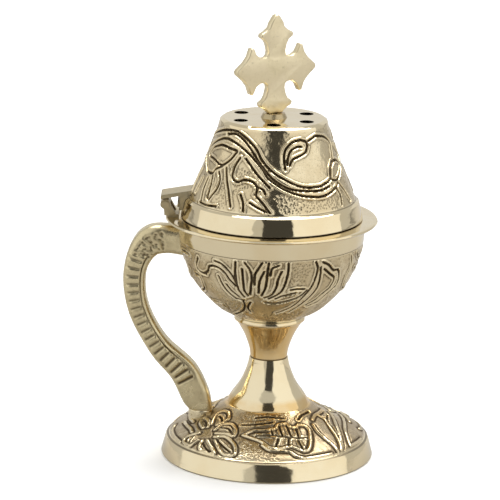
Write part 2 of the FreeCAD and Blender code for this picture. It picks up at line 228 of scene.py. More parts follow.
def turned(name, rows, steps):
    """Spins an outline of (radius, height) rows in mm about the upright axis into a closed shell."""
    deselect()
    bpy.ops.mesh.primitive_plane_add(size=MM)
    obj = named(name)
    mesh = edit(obj)
    mesh.verts.ensure_lookup_table()
    keep = mesh.verts[0]
    pick(obj, mesh, "verts", lambda v: v is not keep)
    bpy.ops.mesh.delete(type="VERT")
    bpy.ops.mesh.select_all(action="SELECT")
    mesh = bmesh.from_edit_mesh(obj.data)
    here = mesh.verts[:][0].co.copy()
    start = Vector((rows[0][0], 0, rows[0][1])) * MM
    bpy.ops.transform.translate(value=start - here)
    for a, b in zip(rows, rows[1:]):
        step = ((b[0] - a[0]) * MM, 0, (b[1] - a[1]) * MM)
        bpy.ops.mesh.extrude_vertices_move(TRANSFORM_OT_translate={"value": step})
    bpy.ops.object.mode_set(mode="OBJECT")
    spin = obj.modifiers.new("spin", "SCREW")
    spin.steps = spin.render_steps = steps
    spin.use_merge_vertices = True
    spin.merge_threshold = 1e-6
    apply_all(obj)
    edit(obj)
    return close_up(obj)


def ride(obj, body, slot, *nodes):
    """The finished piece moves with its body and stands for its CAD nodes."""
    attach(obj, body)
    if nodes:
        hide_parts(*nodes)
    return obj


# ---------------------------------------------------------------- chased ornament

# Every line is a chisel's path, as (degrees round from the front, height in mm).

LID_LINES = [
    [(-88, 109.6), (-80, 110.8), (-60, 112.9), (-44, 113.6), (-35, 112.9), (-26, 111.4), (-19, 109.7),
     (-15, 108.3), (-10, 105.6), (-4, 103.3), (2, 101.5), (10, 99.7), (18, 98.1), (26, 97.1), (38, 96.8),
     (45, 97.3), (53, 98.4), (59, 101.5), (66, 103.2)],
    [(-87, 104.9), (-75, 107.6), (-61, 109.9), (-52, 110.6), (-44, 110.3), (-34, 109.2), (-24, 107.4),
     (-16, 105.2), (-9, 102.9), (-4, 100.2), (2, 98.5), (10, 96.6), (21, 94.8), (33, 93.9), (41, 93.8),
     (48, 94.3), (57, 95.5), (62, 96.7)],
    [(-53, 112.0), (-42, 112.6), (-31, 111.2), (-21, 108.4), (-14, 105.5), (-7, 102.6), (0, 100.0),
     (8, 97.9), (16, 96.6), (26, 96.0), (39, 95.6), (50, 96.3)],
    [(-25, 105.5), (-18, 103.0), (-12, 100.7), (-7, 99.0), (-2, 97.2)],
    [(-71, 106.6), (-57, 108.2), (-45, 107.9), (-36, 107.5), (-37, 106.5), (-41, 104.4), (-48, 102.4),
     (-53, 102.3), (-63, 103.2), (-76, 103.8), (-71, 106.6)],
    [(-87, 102.6), (-72, 100.5), (-66, 99.1), (-58, 99.0), (-55, 100.6), (-48, 102.1)],
    [(-50, 100.0), (-46, 97.8), (-46, 95.2), (-49, 92.8), (-51, 91.1)],
    [(-56, 98.3), (-54, 95.3), (-53, 91.4)],
    [(-61, 97.2), (-61, 93.4), (-58, 89.2)],
    [(-70, 96.4), (-71, 93.7), (-72, 91.6)],
    [(-80, 98.6), (-82, 95.0), (-81, 91.0)],
    [(-60, 89.5), (-52, 89.3), (-42, 89.7)],
    [(-43, 101.7), (-39, 98.3), (-35, 95.3), (-32, 92.4), (-30, 90.4)],
    [(-31, 105.5), (-34, 103.2), (-35, 101.0), (-34, 99.2), (-29, 98.2), (-23, 99.1), (-16, 98.7),
     (-12, 97.3), (-12, 95.2)],
    [(-24, 94.5), (-21, 92.1), (-20, 89.2)],
    [(-13, 94.9), (-7, 92.6), (-3, 90.5), (-1, 89.4)],
    [(-16, 92.3), (-10, 91.0), (-4, 89.9)],
    [(-12, 97.3), (-7, 96.5), (-5, 95.1)],
    [(11, 102.7), (10, 105.8), (11, 108.2), (14, 109.8), (20, 111.2), (28, 111.7)],
    [(13, 104.2), (14, 106.4), (17, 108.5), (24, 109.6), (28, 109.5)],
    [(15, 103.9), (18, 105.7), (26, 106.8), (32, 107.8), (35, 109.9)],
    [(28, 111.7), (34, 110.9), (35, 109.6)],
    [(37, 111.1), (43, 111.8), (49, 112.2), (62, 111.2), (70, 109.1), (69, 107.2), (65, 103.6)],
    [(62, 103.2), (73, 103.0), (79, 100.9), (68, 98.5), (60, 97.5), (54, 98.6), (56, 101.0), (62, 103.2)],
    [(80, 107.4), (88, 104.4), (82, 102.2)],
    [(62, 96.7), (67, 93.7), (71, 90.1)],
    [(57, 95.5), (59, 92.8), (57, 89.8)],
]
LID_GROUND = [
    [(8, 89.2), (62, 89.2), (60, 94.0), (44, 92.6), (30, 92.6), (16, 94.2), (6, 95.6), (0, 94.0)],
    [(-40, 89.2), (-32, 89.2), (-38, 95.5), (-44, 98.5), (-48, 94.0)],
    [(-30, 93.5), (-24, 96.0), (-14, 96.5), (-8, 98.0), (-20, 101.8), (-30, 103.0), (-33, 101.0),
     (-32, 99.5)],
]
BOWL_LINES = [
    [(-36, 67.1), (-34, 64.0), (-31, 61.6), (-26, 59.6), (-20, 59.2)],
    [(-31, 64.6), (-28, 62.6), (-23, 60.2)],
    [(-37, 72.4), (-32, 71.8), (-28, 70.0), (-25, 67.7), (-23, 65.3)],
    [(-49, 66.8), (-45, 68.0), (-42, 70.1), (-36, 70.4), (-31, 69.0), (-28, 66.7), (-24, 64.4)],
    [(-52, 72.1), (-56, 68.9), (-54, 67.0), (-47, 66.7)],
    [(-22, 73.3), (-23, 69.6), (-23, 66.0), (-22, 63.0), (-19, 60.5)],
    [(-18, 71.0), (-18, 67.0), (-18, 63.3), (-16, 61.1)],
    [(-16, 73.3), (-13, 70.9), (-12, 68.1), (-13, 64.7), (-14, 61.6)],
    [(-5, 73.8), (-8, 71.1), (-10, 68.9), (-10.5, 65.5)],
    [(-4, 70.5), (-7, 66.8), (-8, 62.5)],
    [(-1, 73.8), (-2, 69.5), (-3, 65.0), (-6, 61.5)],
    [(0, 69.1), (1, 71.7), (5, 72.8)],
    [(7, 70.6), (5, 67.7), (4, 64.7), (1, 62.0), (-4, 60.7)],
    [(11, 73.8), (11, 69.5), (9, 64.7), (6, 62.4), (-1, 60.3)],
    [(14, 63.8), (19, 64.0), (24, 63.8)],
    [(29, 73.5), (31, 70.5), (30, 66.2), (28, 63.3), (24, 60.3), (20, 57.6), (13, 55.5), (6, 54.2)],
    [(33, 71.4), (34, 68.4), (34, 64.4), (31, 61.1), (27, 58.5), (22, 56.2), (17, 54.5)],
    [(34, 73.1), (39, 71.7), (44, 69.5), (49, 69.0), (52, 66.1), (52, 63.2), (46, 60.7), (41, 57.9),
     (33, 56.5)],
    [(36, 70.5), (42, 68.2), (47, 66.3), (46, 63.4), (41, 61.2), (37, 59.1), (30, 57.1)],
    [(4, 60.4), (9, 61.6), (15, 62.3), (18, 62.5)],
    [(-4, 59.0), (4, 58.7), (15, 59.8), (22, 61.2), (26, 63.3)],
    [(-21, 59.1), (-21, 56.7), (-26, 54.1), (-40, 51.6)],
    [(-15, 58.6), (-19, 55.9), (-18, 54.1)],
    [(-58, 55.8), (-45, 55.9), (-45, 54.3)],
    [(-62, 65.3), (-56, 65.0), (-55, 62.9), (-57, 60.5), (-65, 58.8)],
    [(-69, 66.2), (-77, 63.1), (-84, 62.4)],
    [(-81, 70.8), (-70, 71.9), (-62, 71.6)],
    [(60, 72.9), (64, 69.0), (62, 64.8), (66, 61.0), (76, 59.4)],
    [(68, 73.0), (76, 70.4), (84, 70.0), (90, 72.0)],
    [(72, 67.6), (80, 66.0), (88, 66.8), (92, 69.0)],
]
BOWL_GROUND = [
    [(-64, 50.0), (-30, 50.0), (-24, 56.0), (-40, 58.0), (-64, 57.0)],
    [(-8, 49.5), (30, 49.5), (34, 54.0), (16, 54.5), (-6, 53.5)],
    [(10, 65.0), (22, 65.2), (27, 70.0), (26, 73.4), (13, 73.4)],
    [(40, 49.6), (86, 49.6), (84, 58.0), (56, 62.0), (44, 56.0)],
    [(-74, 60.0), (-64, 60.0), (-60, 70.0), (-76, 70.0)],
]
FOOT_LINES = [
    [(-57, 12.9), (-66, 14.7), (-65, 16.0), (-55, 16.4), (-46, 15.3), (-47, 14.2), (-51, 13.1)],
    [(-47, 12.2), (-46, 13.5), (-37, 14.2), (-29, 13.2), (-27, 11.9), (-34, 12.1), (-43, 11.7)],
    [(-41, 11.0), (-33, 11.5), (-24, 10.6), (-20, 9.2), (-20, 8.0), (-25, 7.7), (-30, 8.6), (-38, 10.4)],
    [(-44, 10.0), (-34, 8.3), (-33, 7.2), (-40, 7.2), (-45, 8.1), (-47, 9.7)],
    [(-56, 10.7), (-60, 9.7), (-61, 8.1), (-56, 7.4), (-52, 7.7), (-50, 9.4)],
    [(-59, 11.7), (-71, 12.2), (-75, 13.0), (-65, 13.1), (-56, 12.2)],
    [(-20, 12.4), (-13, 13.5), (-2, 13.8), (7, 14.1), (12, 15.0), (19, 15.1), (24, 14.3), (28, 14.0),
     (33, 14.5), (39, 14.0), (40, 13.1), (36, 11.9), (32, 10.6), (28, 9.4), (24, 9.1), (20, 9.9), (16, 10.4),
     (10, 10.1), (2, 10.3), (-4, 11.4), (-12, 12.0), (-20, 12.4)],
    [(-3, 10.7), (2, 9.7), (9, 9.5), (15, 9.2), (18, 8.2), (23, 7.4), (29, 7.3), (42, 7.3)],
    [(49, 13.8), (46, 12.3), (46, 10.9), (47, 9.4), (47, 7.4)],
    [(69, 15.1), (70, 13.6), (61, 11.8), (55, 9.7), (50, 7.6)],
    [(95, 13.4), (73, 12.0), (59, 9.9), (51, 7.6)],
    [(103, 11.5), (76, 10.8), (63, 8.9), (60, 7.6)],
    [(60, 7.6), (77, 7.3)],
    [(89, 15.0), (66, 15.4), (54, 14.8)],
    [(-90, 8.5), (-82, 7.6), (-63, 7.2)],
    [(-86, 10.3), (-70, 10.5), (-63, 10.2)],
]
FOOT_CUTS = [
    [(-9, 12.5), (7, 12.6), (18, 12.1), (32, 11.7)],
    [(-60, 14.8), (-54, 14.6), (-49, 14.0)],
    [(-44, 12.9), (-37, 13.1), (-31, 12.6)],
    [(-38, 10.6), (-30, 9.6), (-23, 8.6)],
    [(-45, 9.2), (-40, 8.3), (-36, 7.7)],
    [(-57, 9.8), (-56, 8.8), (-55, 8.2)],
    [(-70, 12.7), (-64, 12.6), (-58, 12.2)],
    [(4, 14.0), (5, 12.8)],
    [(12, 14.8), (13, 12.6)],
    [(20, 14.9), (20, 12.4)],
    [(28, 13.8), (26, 12.2)],
    [(6, 10.3), (9, 12.0)],
    [(15, 10.4), (17, 11.8)],
    [(24, 9.4), (24, 11.4)],
    [(84, 13.9), (70, 13.2), (60, 11.0)],
    [(-26, 14.4), (-10, 15.0), (6, 15.6)],
    [(-14, 16.4), (0, 16.8), (20, 16.4)],
    [(36, 15.6), (46, 16.4), (60, 16.6)],
]
FOOT_GROUND = [
    [(-17, 7.2), (8, 7.2), (4, 8.8), (-6, 9.8), (-16, 11.4), (-22, 11.0), (-19, 9.0)],
    [(-30, 14.4), (-14, 14.2), (4, 15.0), (10, 16.2), (-4, 17.0), (-30, 16.6)],
]


class Chasing:
    """Ornament cut into a turned surface, held as a fine sheet unrolled round it.

    seam, bead and pits are the distances in mm to the nearest cut line, raised line and punch mark."""

    STEP = 0.14
    REACH = 2.4
    PER_DEGREE = 4

    def __init__(self, outline):
        self.path = smooth_line(outline, 0.05)
        run = np.linalg.norm(np.diff(self.path, axis=0), axis=1)
        self.run = np.r_[0, np.cumsum(run)]
        self.rows = int(self.run[-1] / self.STEP) + 1
        self.columns = 360 * self.PER_DEGREE
        self.seam, self.bead, self.pits = (np.full((self.rows, self.columns), self.REACH) for n in range(3))

    def along(self, height):
        """Distance along the outline at a height."""
        order = np.argsort(self.path[:, 1])
        return np.interp(height, self.path[order, 1], self.run[order])

    def stamp(self, sheet, degrees, along, reach):
        """Lowers the sheet to the distance from one point, measured on the metal."""
        row = along / self.STEP
        degree = max(4.0, float(np.interp(along, self.run, self.path[:, 0]))) * pi / 180
        span = int(reach / self.STEP) + 1
        wide = int(reach / degree * self.PER_DEGREE) + 1
        r0, r1 = max(0, int(row) - span), min(self.rows, int(row) + span + 2)
        if r1 <= r0:
            return
        middle = int(degrees * self.PER_DEGREE)
        c = np.arange(middle - wide, middle + wide + 2)
        dx = (c / self.PER_DEGREE - degrees) * degree
        dy = (np.arange(r0, r1) - row) * self.STEP
        d = np.sqrt(dx[None, :] ** 2 + dy[:, None] ** 2)
        c = c % self.columns
        sheet[r0:r1, c] = np.minimum(sheet[r0:r1][:, c], d)

    def line(self, sheet, points, turn=0.0):
        """Draws one line."""
        flat = [(a, self.along(z)) for a, z in points]
        r = float(np.interp(np.mean([p[1] for p in flat]), self.run, self.path[:, 0]))
        k = r * pi / 180
        for x, along in smooth_line([(a * k, s) for a, s in flat], 0.12):
            self.stamp(sheet, x / k + turn, along, self.REACH)

    def punch(self, region, spacing, seed, turn=0.0):
        """Punch marks all over a region."""
        rng = np.random.default_rng(seed)
        flat = np.array([(a, self.along(z)) for a, z in region])
        r = float(np.interp(flat[:, 1].mean(), self.run, self.path[:, 0]))
        k = r * pi / 180
        flat[:, 0] *= k
        lo, hi = flat.min(0), flat.max(0)
        for y in np.arange(lo[1], hi[1], spacing * 0.87):
            for x in np.arange(lo[0], hi[0], spacing):
                p = np.array([x, y]) + rng.uniform(-0.42, 0.42, 2) * spacing
                if inside(p, flat):
                    self.stamp(self.pits, p[0] / k + turn, p[1], 1.0)

    def read(self, sheet, degrees, heights):
        """The sheet's values at places on the metal."""
        row = np.clip(self.along(heights) / self.STEP, 0, self.rows - 1.001)
        col = np.mod(degrees * self.PER_DEGREE, self.columns)
        r, c = row.astype(int), col.astype(int)
        fr, fc = row - r, col - c
        c1 = (c + 1) % self.columns
        return (sheet[r, c] * (1 - fr) * (1 - fc) + sheet[r + 1, c] * fr * (1 - fc)
                + sheet[r, c1] * (1 - fr) * fc + sheet[r + 1, c1] * fr * fc)


def inside(p, loop):
    """True where a point lies inside a closed loop."""
    x, y = p
    x0, y0 = loop[:, 0], loop[:, 1]
    x1, y1 = np.roll(x0, -1), np.roll(y0, -1)
    cross = (y0 > y) != (y1 > y)
    with np.errstate(divide="ignore", invalid="ignore"):
        at = x0 + (y - y0) * (x1 - x0) / (y1 - y0)
    return bool(np.sum(cross & (x < at)) % 2)


def bell(distance, centre, width):
    """1 at the centre, falling off over the width."""
    return np.exp(-((distance - centre) / width) ** 2)


def displace(obj, name, weight, amount):
    """Moves the weighted part of the skin out by an amount in mm."""
    group = obj.vertex_groups.new(name=name)
    for i in np.nonzero(weight > 0.004)[0]:
        group.add([int(i)], float(weight[i]), "REPLACE")
    push = obj.modifiers.new(name, "DISPLACE")
    push.vertex_group = name
    push.mid_level = 0
    push.strength = amount * MM
    return push


def chase(obj, outline, cuts, beads, grounds, low, high, depth):
    """Cuts the ornament into obj's outer wall and stores the distances to it for the finish."""
    work = Chasing(outline)
    for turn in (0.0, 180.0):
        for points in cuts:
            work.line(work.seam, points, turn)
        for points in beads:
            work.line(work.bead, points, turn)
        for n, region in enumerate(grounds):
            work.punch(region, 0.95, 11 + n, turn)
    co = np.empty(len(obj.data.vertices) * 3)
    obj.data.vertices.foreach_get("co", co)
    co = co.reshape(-1, 3) / MM
    order = np.argsort(work.path[:, 1])
    outer = np.interp(co[:, 2], work.path[order, 1], work.path[order, 0])
    fade = np.clip(np.minimum(co[:, 2] - low, high - co[:, 2]) / 0.5, 0, 1)
    fade *= np.abs(np.hypot(co[:, 0], co[:, 1]) - outer) < 0.6
    degrees = np.degrees(np.arctan2(co[:, 0], -co[:, 1]))
    seam, bead, pits = (work.read(sheet, degrees, co[:, 2]) for sheet in (work.seam, work.bead, work.pits))
    cut = np.maximum(bell(seam, 0, 0.34), 0.6 * bell(bead, 0.95, 0.3))
    cut = np.maximum(cut, 0.35 * bell(pits, 0, 0.3)) * fade
    rise = np.maximum(0.75 * bell(seam, 0.8, 0.4), bell(bead, 0, 0.5)) * fade
    hammer = bpy.data.textures.new("hammer", "CLOUDS")
    hammer.noise_scale = 1.6 * MM
    displace(obj, "cut", cut, -depth)
    displace(obj, "rise", rise, 0.42)
    marks = displace(obj, "hammered", fade, 0.16)
    marks.texture = hammer
    marks.texture_coords = "LOCAL"
    marks.mid_level = 0.5
    for name, values in (("seam", seam), ("bead", bead), ("pits", pits), ("chased", fade)):
        layer = obj.data.attributes.new(name, "FLOAT", "POINT")
        layer.data.foreach_set("value", values.astype(np.float32))
    apply_all(obj)
    obj.vertex_groups.clear()


# ---------------------------------------------------------------- finishes

class Wire:
    """A shader socket that takes part in sums."""

    def __init__(self, shade, socket):
        self.shade = shade
        self.socket = socket

    def sum(self, operation, *values):
        node = self.shade.node("ShaderNodeMath", {"operation": operation}, dict(enumerate(values)))
        return Wire(self.shade, node.outputs[0])

    def __add__(self, other):
        return self.sum("ADD", self, other)

    def __radd__(self, other):
        return self.sum("ADD", other, self)

    def __sub__(self, other):
        return self.sum("SUBTRACT", self, other)

    def __rsub__(self, other):
        return self.sum("SUBTRACT", other, self)

    def __mul__(self, other):
        return self.sum("MULTIPLY", self, other)

    def __rmul__(self, other):
        return self.sum("MULTIPLY", other, self)

    def over(self, other):
        return self.sum("MAXIMUM", self, other)

    def clamped(self):
        wire = self.sum("MULTIPLY", self, 1.0)
        wire.socket.node.use_clamp = True
        return wire


class Shade:
    """One material's nodes."""

    def __init__(self, name):
        self.material = bpy.data.materials.new(name)
        self.material.use_nodes = True
        self.tree = self.material.node_tree
        self.tree.nodes.clear()
        self.out = self.node("ShaderNodeOutputMaterial")

    def node(self, kind, settings=None, inputs=None):
        node = self.tree.nodes.new(kind)
        for key, value in (settings or {}).items():
            if key == "stops":
                ramp = node.color_ramp
                while len(ramp.elements) > 2:
                    ramp.elements.remove(ramp.elements[-1])
                for n, (at, colour) in enumerate(value):
                    stop = ramp.elements[n] if n < 2 else ramp.elements.new(at)
                    stop.position = at
                    stop.color = colour
            else:
                setattr(node, key, value)
        for key, value in (inputs or {}).items():
            if isinstance(value, Wire):
                self.tree.links.new(value.socket, node.inputs[key])
            else:
                node.inputs[key].default_value = value
        return node

    def wire(self, kind, output, settings=None, inputs=None):
        return Wire(self, self.node(kind, settings, inputs).outputs[output])

    def place(self):
        return self.wire("ShaderNodeTexCoord", "Object")

    def attribute(self, name):
        return self.wire("ShaderNodeAttribute", "Fac", {"attribute_name": name})

    def noise(self, vector, scale, detail=3.0, roughness=0.55):
        inputs = {"Vector": vector, "Scale": scale, "Detail": detail, "Roughness": roughness}
        return self.wire("ShaderNodeTexNoise", "Fac", None, inputs)

    def between(self, value, low, high):
        """0 at low, 1 at high, clamped."""
        inputs = {"Value": value, "From Min": low, "From Max": high}
        return self.wire("ShaderNodeMapRange", 0, {"interpolation_type": "SMOOTHSTEP"}, inputs)

    def band(self, value, low, high, edge):
        """1 between low and high, falling to 0 over the edge."""
        return self.between(value, low - edge, low) * (1 - self.between(value, high, high + edge))

    def mix(self, factor, a, b):
        node = self.node("ShaderNodeMix", {"data_type": "RGBA"})
        for socket, value in ((node.inputs[0], factor), (node.inputs[6], a), (node.inputs[7], b)):
            if isinstance(value, Wire):
                self.tree.links.new(value.socket, socket)
            elif socket.type == "RGBA":
                socket.default_value = (*value[:3], 1.0)
            else:
                socket.default_value = value
        return Wire(self, node.outputs[2])

    def stretched(self, vector, scale):
        return self.wire("ShaderNodeMapping", 0, None, {"Vector": vector, "Scale": scale})

    def bump(self, height, strength, distance, below=None):
        inputs = {"Height": height, "Strength": strength, "Distance": distance}
        if below is not None:
            inputs["Normal"] = below
        return self.wire("ShaderNodeBump", 0, None, inputs)

    def metal(self, colour, roughness, normal=None):
        inputs = {"Metallic": 1.0, "Base Color": colour, "Roughness": roughness}
        if normal is not None:
            inputs["Normal"] = normal
        node = self.node("ShaderNodeBsdfPrincipled", None, inputs)
        self.tree.links.new(node.outputs[0], self.out.inputs[0])
        return self.material


def chased_brass(name, bright, ground, grime_and_shade, warm_reflection, dullness=1.0, gloss=0.1, crease_shade_rings=(), reflection_band=None):
    """Polished on the turned bands, duller and speckled on the chased ground, dark down in the cuts, with
    painted shade on the ground beside the lines and rubbed wear with a painted highlight on the raised lips and
    beads.

    The rings are the heights in mm of dark lines painted into turned creases and steps, grime and painted shade
    together, with their half width and darkness; between the two heights of the warm band a warmer colour is
    painted in as the orange reflection of brass in brass."""
    s = Shade(name)
    place = s.place()
    seam, bead, pits = s.attribute("seam"), s.attribute("bead"), s.attribute("pits")
    chased = s.attribute("chased")
    height = s.wire("ShaderNodeSeparateXYZ", 2, None, {"Vector": place})
    cloud = s.noise(place, 60.0, 4.0)
    grit = s.noise(place, 1500.0, 3.0, 0.65)
    speck = s.noise(place, 620.0, 2.0, 0.6)
    pocks = s.noise(place, 2300.0, 2.0, 0.5)
    uneven = s.noise(place, 330.0, 2.0)
    cut = 1 - s.between(seam, 0.1, 0.5)
    # Painted shade: a dark line along the outer foot of each raised lip.
    lip_foot_shade = s.band(seam, 1.3, 1.42, 0.16) * s.between(uneven, 0.4, 0.6) * 0.6
    side = s.band(bead, 0.75, 1.05, 0.25) * 0.85
    dot = (1 - s.between(pits, 0.1, 0.42)) * 0.6
    # Raised lips and beads kept bright and smooth: rubbed wear and a painted highlight together.
    rubbed_and_highlit = s.band(seam, 0.55, 0.95, 0.25).over(1 - s.between(bead, 0.35, 0.7))
    # Painted shade: soft darkening of the chased ground beside the cut lines and raised beads.
    shade_halo = (1 - s.between(seam, 0.7, 2.3)).over(1 - s.between(bead, 0.9, 2.3)) * (1 - rubbed_and_highlit) * 0.3
    plain = chased * (1 - rubbed_and_highlit * 0.85) * dullness
    dull = (plain * s.between(cloud + speck * 0.6, 0.4, 0.95)).clamped()
    tint = s.mix(s.between(cloud, 0.35, 0.7), bright, [c * k for c, k in zip(bright, (0.96, 0.92, 0.86))])
    # Painted reflection: a warmer tint between two heights, standing in for brass reflected in brass.
    if reflection_band:
        zone = s.band(height, reflection_band[0] * MM, reflection_band[1] * MM, 2 * MM)
        tint = s.mix(zone * s.between(cloud, 0.2, 0.6), tint, warm_reflection)
    body = s.mix(dull, tint, ground)
    spots = plain * s.between(grit * 0.5 + pocks * 0.5, 0.53, 0.66) * 0.5
    lines = cut.over(lip_foot_shade).over(side).over(dot) * (1 - s.between(uneven, 0.5, 0.8) * 0.45) * chased
    dark = lines + shade_halo * chased + spots
    # Dark rings in turned creases and steps: grime and painted shade together.
    for at, half, strength in crease_shade_rings:
        dark = dark.over(s.band(height, (at - half) * MM, (at + half) * MM, 0.12 * MM) * strength)
    dark = dark.clamped()
    # The dark colour carries grime in the cuts and the painted shade around the lines and in the creases.
    colour = s.mix(dark, body, grime_and_shade)
    rough = gloss + dull * 0.2 + dark * 0.3 + (speck - 0.5) * 0.04
    turning = s.noise(s.stretched(place, (20.0, 20.0, 2600.0)), 1.0, 2.0)
    wave = s.bump(s.noise(place, 130.0, 2.0), 0.25, 0.0006)
    profile = s.bump((rubbed_and_highlit * 0.5 - lines * 0.5) * chased, 0.55, 0.0004, wave)
    fine = s.bump(turning * (1 - chased) * 0.2 + (grit + pocks) * plain, 0.3, 0.00015, profile)
    return s.metal(colour, rough, fine)


def plain_brass(name, bright, dull, grime, spread=0.5, rough=0.2, cast=0.5):
    """Cast or machined brass: cloudy tarnish, grime in fine pits and a slightly uneven skin."""
    s = Shade(name)
    place = s.place()
    patina = s.attribute("patina")
    cloud = s.noise(place, 90.0, 4.0)
    grit = s.noise(place, 900.0, 4.0, 0.65)
    tarnish = s.between(cloud + grit * 0.35, 0.55, 0.95) * spread
    body = s.mix(tarnish, bright, dull)
    pits = s.between(grit, 0.6, 0.74) * 0.4 * cast
    dark = (s.between(patina, 0.12, 0.8) + pits).clamped()
    colour = s.mix(dark, body, grime)
    gloss = rough + tarnish * 0.12 + dark * 0.3
    wave = s.bump(s.noise(place, 220.0, 2.0), 0.3 * cast, 0.0006)
    fine = s.bump(grit, 0.25 * cast + 0.05, 0.00015, wave)
    return s.metal(colour, gloss, fine)


def finish(obj, material):
    """Gives a piece its one material."""
    obj.data.materials.clear()
    obj.data.materials.append(material)


def colours():
    return bpy.context.scene.censer_colours


def sizes():
    return bpy.context.scene.censer_sizes


# ---------------------------------------------------------------- settings

class CenserSizes(bpy.types.PropertyGroup):
    """Sizes that a maker may change."""

    columns: IntProperty(name="Columns", description="Facets round each turned piece", default=640, min=120)
    chase_depth: FloatProperty(
        name="Chasing depth", description="Depth of the cut ornament", default=0.42 * MM, unit="LENGTH",
        precision=5)
    handle_width: FloatProperty(
        name="Handle width", description="Width of the cast handle", default=8 * MM, unit="LENGTH", precision=4)
    groove_depth: FloatProperty(
        name="Groove depth", description="Depth of the handle's cross grooves", default=0.5 * MM,
        unit="LENGTH", precision=5)


def brass_colour(name, description, value):
    return FloatVectorProperty(
        name=name, description=description, default=value, subtype="COLOR", min=0, max=1)


class CenserColours(bpy.types.PropertyGroup):
    """Colours of the brass and its tarnish."""

    bright: brass_colour("Bright brass", "Polished brass", (0.88, 0.765, 0.52))
    ground: brass_colour("Chased ground", "Duller brass between the cut lines", (0.62, 0.50, 0.30))
    foot_ground: brass_colour("Foot ground", "Browner brass between the raised lines", (0.46, 0.36, 0.22))
    # Dark colour for grime in the cuts and for the painted shade beside the lines and in the creases.
    grime_and_shade: brass_colour("Recess", "Grime in the cuts and painted shade", (0.12, 0.088, 0.05))
    cast: brass_colour("Cast brass", "Handle and hinge", (0.72, 0.62, 0.38))
    cast_dull: brass_colour("Dull cast brass", "Tarnished casting", (0.50, 0.41, 0.24))
    heat: brass_colour("Heated brass", "The pan that holds the charcoal", (0.36, 0.27, 0.16))
    # Painted reflection: the orange of brass reflected in brass, painted round the stem.
    warm_reflection: brass_colour("Warm brass", "Painted warm reflection round the stem", (0.80, 0.56, 0.25))
    # Painted reflection: the collar's darker brown stands in for the dark reflection seen on it.
    collar: brass_colour("Collar brass", "The darker turned collar", (0.56, 0.42, 0.24))
    iron: brass_colour("Hinge metal", "Darkened, greenish hinge", (0.36, 0.33, 0.24))
    floor: brass_colour("Floor", "Plain pale floor", (0.93, 0.93, 0.92))


# ---------------------------------------------------------------- pieces

class CENSER_OT_foot(bpy.types.Operator):
    """Turned foot with its chased dome and the seat that carries the handle"""

    bl_idname = "censer.foot"
    bl_label = "Foot"

    def execute(self, context):
        c, size = colours(), sizes()
        rows = outline_rows(FOOT_HOLLOW, 0, -1) + outline_rows(FOOT_OUTLINE, 0.33, 3)
        foot = turned("turned_foot", rows, size.columns)
        chase(foot, FOOT_OUTLINE[3], FOOT_CUTS, FOOT_LINES, FOOT_GROUND, 6.9, 17.7, size.chase_depth / MM)
        smooth(foot)
        # The ring is painted shade with grime in the foot's step; the warm band is painted reflection.
        finish(foot, chased_brass("foot_brass", c.bright, c.foot_ground, c.grime_and_shade, c.warm_reflection, 1.0, 0.1,
                                  [(6.45, 0.12, 0.8)], (14.5, 19.5)))
        ride(foot, "body", "relief_brass", "foot")

        deselect()
        bpy.ops.mesh.primitive_cylinder_add(
            vertices=64, radius=4.3 * MM, depth=6.2 * MM, location=(-22.4 * MM, 0, 12.1 * MM))
        seat = named("handle_seat")
        settle(seat)
        soften(seat, 0.7, 4)
        smooth(seat)
        finish(seat, plain_brass("seat_brass", c.bright, c.cast_dull, c.grime_and_shade, 0.8, 0.22, 0.7))
        ride(seat, "body", "relief_brass")
        return {"FINISHED"}


class CENSER_OT_bowl(bpy.types.Operator):
    """Turned bowl with its neck, bead, chased wall and flange"""

    bl_idname = "censer.bowl"
    bl_label = "Bowl"

    def execute(self, context):
        c, size = colours(), sizes()
        bowl = turned("turned_bowl", outline_rows(BOWL_OUTLINE, 0.32, 3), size.columns - 50)
        chase(bowl, BOWL_OUTLINE[3], BOWL_LINES, [], BOWL_GROUND, 48.9, 74.2, size.chase_depth / MM)
        smooth(bowl)
        # The rings are painted shade with grime in the bowl's creases; the warm band on the neck is painted
        # reflection.
        finish(bowl, chased_brass("bowl_brass", c.bright, c.ground, c.grime_and_shade, c.warm_reflection, 1.0, 0.12,
                                  [(74.4, 0.1, 0.75), (80.45, 0.1, 0.7), (48.2, 0.1, 0.6), (46.45, 0.08, 0.6),
                                   (33.75, 0.2, 0.8)], (33.0, 46.0)))
        ride(bowl, "body", "relief_brass", "bowl")
        return {"FINISHED"}


class CENSER_OT_lid(bpy.types.Operator):
    """Bell lid with its skirt, chased vine and smoke holes"""

    bl_idname = "censer.lid"
    bl_label = "Lid"

    def execute(self, context):
        c, size = colours(), sizes()
        rows = outline_rows(LID_OUTLINE, 0.29, 3) + outline_rows(LID_HOLLOW, 0, -1)
        lid = turned("bell_lid", rows, size.columns - 40)
        chase(lid, LID_OUTLINE[3], LID_LINES, [], LID_GROUND, 88.9, 114.4, size.chase_depth / MM)
        deselect()
        drills = []
        for n in range(VENTS):
            a = radians(360 / VENTS * n)
            bpy.ops.mesh.primitive_cylinder_add(
                vertices=40, radius=VENT_R * MM, depth=6 * MM,
                location=(VENT_PITCH_R * MM * sin(a), -VENT_PITCH_R * MM * cos(a), 114.6 * MM))
            drills.append(named("drill"))
        for drill in drills:
            drill.select_set(True)
        bpy.ops.object.join()
        drill = bpy.context.active_object
        settle(drill)
        cut = lid.modifiers.new("smoke_hole", "BOOLEAN")
        cut.object = drill
        cut.operation = "DIFFERENCE"
        cut.solver = "EXACT"
        apply_all(lid)
        bpy.data.objects.remove(drill)
        smooth(lid)
        # The rings are painted shade with grime at the skirt's creases.
        finish(lid, chased_brass("lid_brass", c.bright, c.ground, c.grime_and_shade, c.warm_reflection, 0.55, 0.06,
                                 [(88.65, 0.1, 0.6), (82.2, 0.1, 0.6)]))
        ride(lid, "lid", "relief_brass", "lid")
        return {"FINISHED"}


